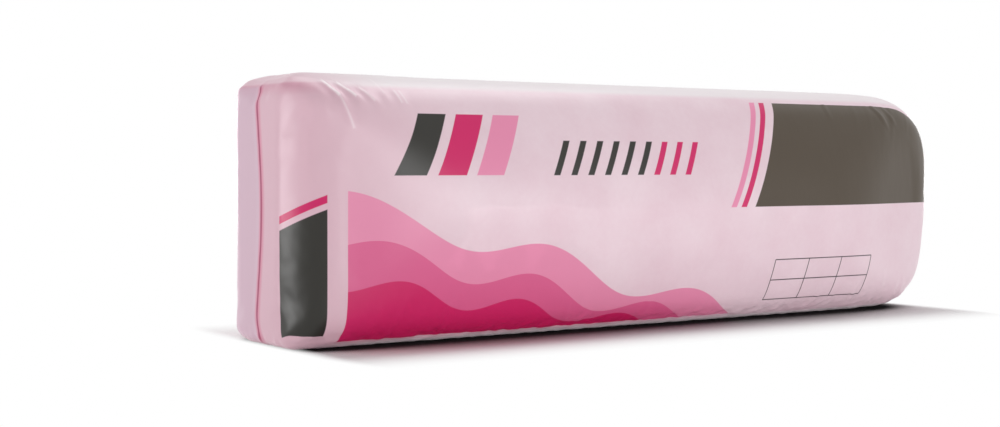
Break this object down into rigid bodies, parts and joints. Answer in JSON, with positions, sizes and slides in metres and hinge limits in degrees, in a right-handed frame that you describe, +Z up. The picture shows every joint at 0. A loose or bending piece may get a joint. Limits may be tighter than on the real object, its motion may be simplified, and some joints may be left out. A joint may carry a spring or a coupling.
{
  "type": "bag of insulation batts",
  "caption": "Compression-packed plastic film bag of flat glass-wool insulation batts, lying on its long edge, with bowed sides and a welded seam down each end.",
  "frame": {"origin": "middle of the pack's underside, on the floor", "axes": "+X along the batts' length, towards the end away from the viewer in the picture; -Y out of the wide side in view; +Z up"},
  "size_m": [1.2556, 0.34, 0.374],
  "materials": {
    "film": "pale pink printed polyethylene film, taut and glossy",
    "wool": "pink glass wool, matt and fibrous"
  },
  "bodies": {
    "root": {"bag": "film", "batts": "wool"}
  },
  "joints": []
}
